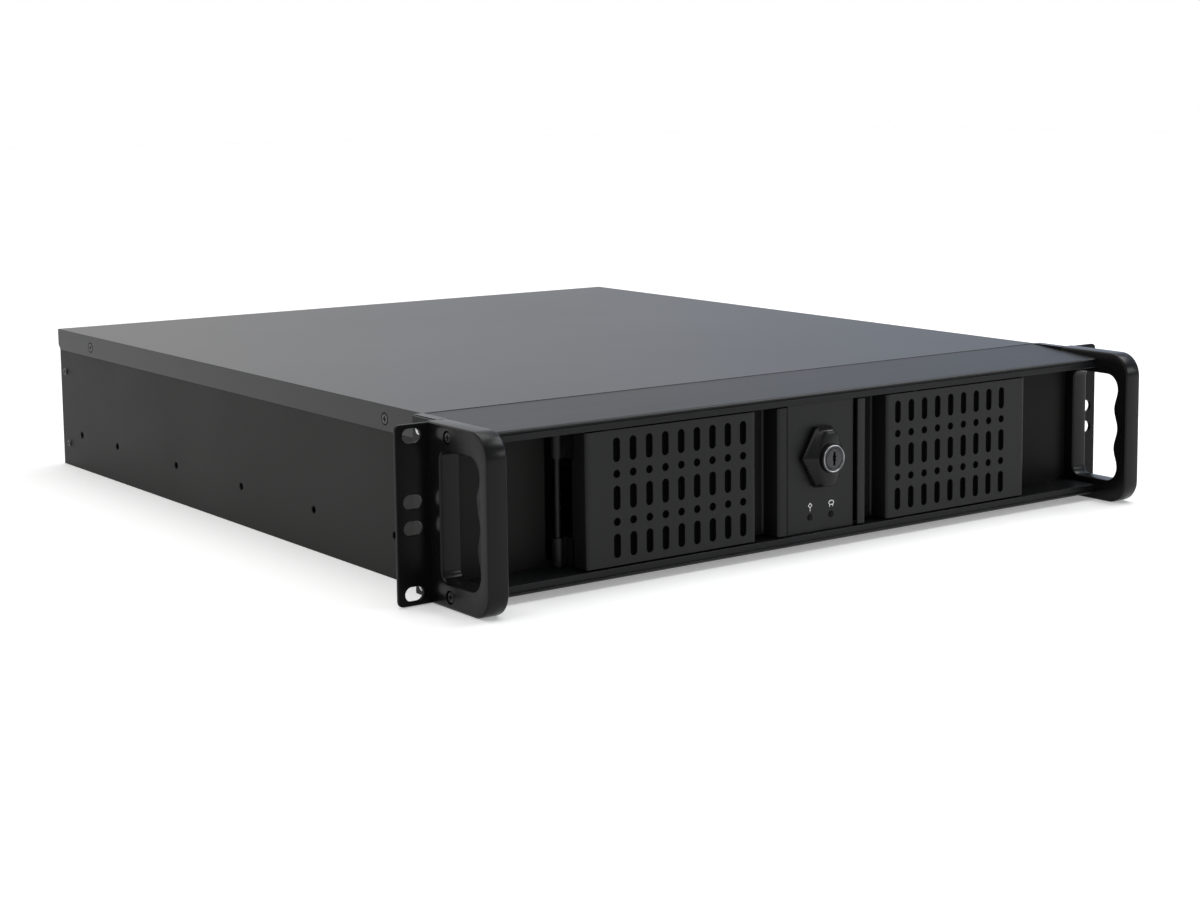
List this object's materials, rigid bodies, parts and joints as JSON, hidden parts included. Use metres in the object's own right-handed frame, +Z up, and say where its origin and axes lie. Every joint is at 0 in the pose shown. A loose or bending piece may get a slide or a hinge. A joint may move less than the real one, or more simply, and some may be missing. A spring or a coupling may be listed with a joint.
{
  "type": "rackmount server case",
  "caption": "Empty two-unit rackmount case with a slide-on cover, two hinged grille doors either side of a keyed lock panel, and a cast finger-grip handle on each rack angle.",
  "frame": {"origin": "under the middle of the overall box, on the plane of the underside", "axes": "+Z up, the front (doors, handles) faces -Y, +X to the right seen from the front"},
  "size_m": [0.4826, 0.531, 0.088],
  "materials": {
    "powder_coat": "fine-textured black powder coat",
    "cover_coat": "fine-textured black powder coat",
    "rail_coat": "satin black coat on extruded aluminium",
    "door_coat": "satin black coat",
    "casting_coat": "semi-gloss black coat on a casting",
    "plated_steel": "bright zinc plate",
    "black_screw": "black oxide",
    "pin_steel": "ground steel",
    "chrome_ring": "polished",
    "lock_face": "satin",
    "black_plastic": "fine-grained",
    "gloss_black": "smooth",
    "lamp_lens": "diffuse lens",
    "circuit_board": "solder mask",
    "foam": "open-cell foam",
    "galvanised": "galvanised sheet",
    "brass": "turned",
    "button_plastic": "fine-grained"
  },
  "bodies": {
    "case": {"chassis_tray": "powder_coat", "top_cover": "cover_coat", "rear_panel": "galvanised", "bezel_top_rail": "rail_coat", "bezel_bottom_rail": "rail_coat", "front_inner_panel": "powder_coat", "lock_panel": "door_coat", "door_hinge_pins": "pin_steel", "lamp_board": "circuit_board", "indicator_lamps": "lamp_lens", "left_handle": "casting_coat", "right_handle": "casting_coat", "left_rack_angle": "powder_coat", "right_rack_angle": "powder_coat", "handle_screws": "black_screw", "rack_angle_screws": "plated_steel", "cover_screws": "black_screw", "rear_panel_screws": "black_screw", "left_fan_frame": "black_plastic", "right_fan_frame": "black_plastic", "fan_bolts": "plated_steel", "switch_block": "black_plastic", "data_sockets": "plated_steel", "left_drive_cage": "galvanised", "right_drive_cage": "galvanised", "cage_screws": "plated_steel", "supply_bracket": "galvanised", "bracket_screws": "plated_steel", "board_standoffs": "brass", "cross_brace": "galvanised", "slot_covers": "galvanised", "slot_ledge": "galvanised", "slot_screws": "plated_steel"},
    "left_door_leaf": {"left_door": "door_coat", "left_filter": "foam"},
    "right_door_leaf": {"right_door": "door_coat", "right_filter": "foam"},
    "lock": {"lock_knob": "black_plastic", "lock_ring": "chrome_ring", "lock_cam": "plated_steel", "cam_screw": "plated_steel"},
    "key_barrel": {"key_cylinder": "lock_face"},
    "left_rotor": {"left_fan_rotor": "gloss_black"},
    "right_rotor": {"right_fan_rotor": "gloss_black"},
    "power_key": {"power_button": "button_plastic"},
    "reset_key": {"reset_button": "button_plastic"}
  },
  "joints": [
    {"name": "left_door_hinge", "type": "hinge", "parent": "case", "child": "left_door_leaf", "pos_m": [-0.156, -0.2225, 0.044], "axis": [0, 0, -1], "range_deg": [0, 100]},
    {"name": "right_door_hinge", "type": "hinge", "parent": "case", "child": "right_door_leaf", "pos_m": [0.156, -0.2225, 0.044], "axis": [0, 0, 1], "range_deg": [0, 100]},
    {"name": "lock_turn", "type": "hinge", "parent": "case", "child": "lock", "pos_m": [0, -0.2399, 0.0496], "axis": [0, 1, 0], "range_deg": [0, 90]},
    {"name": "key_turn", "type": "hinge", "parent": "lock", "child": "key_barrel", "pos_m": [0, -0.2475, 0.0496], "axis": [0, 1, 0], "range_deg": [0, 90]},
    {"name": "left_fan_spin", "type": "hinge", "parent": "case", "child": "left_rotor", "pos_m": [-0.101, -0.1785, 0.044], "axis": [0, 1, 0], "continuous": true},
    {"name": "right_fan_spin", "type": "hinge", "parent": "case", "child": "right_rotor", "pos_m": [0.101, -0.1785, 0.044], "axis": [0, 1, 0], "continuous": true},
    {"name": "power_press", "type": "slide", "parent": "case", "child": "power_key", "axis": [0, 1, 0], "range_m": [0, 0.0015], "stiffness_N_per_m": 800},
    {"name": "reset_press", "type": "slide", "parent": "case", "child": "reset_key", "axis": [0, 1, 0], "range_m": [0, 0.0012], "stiffness_N_per_m": 600}
  ]
}
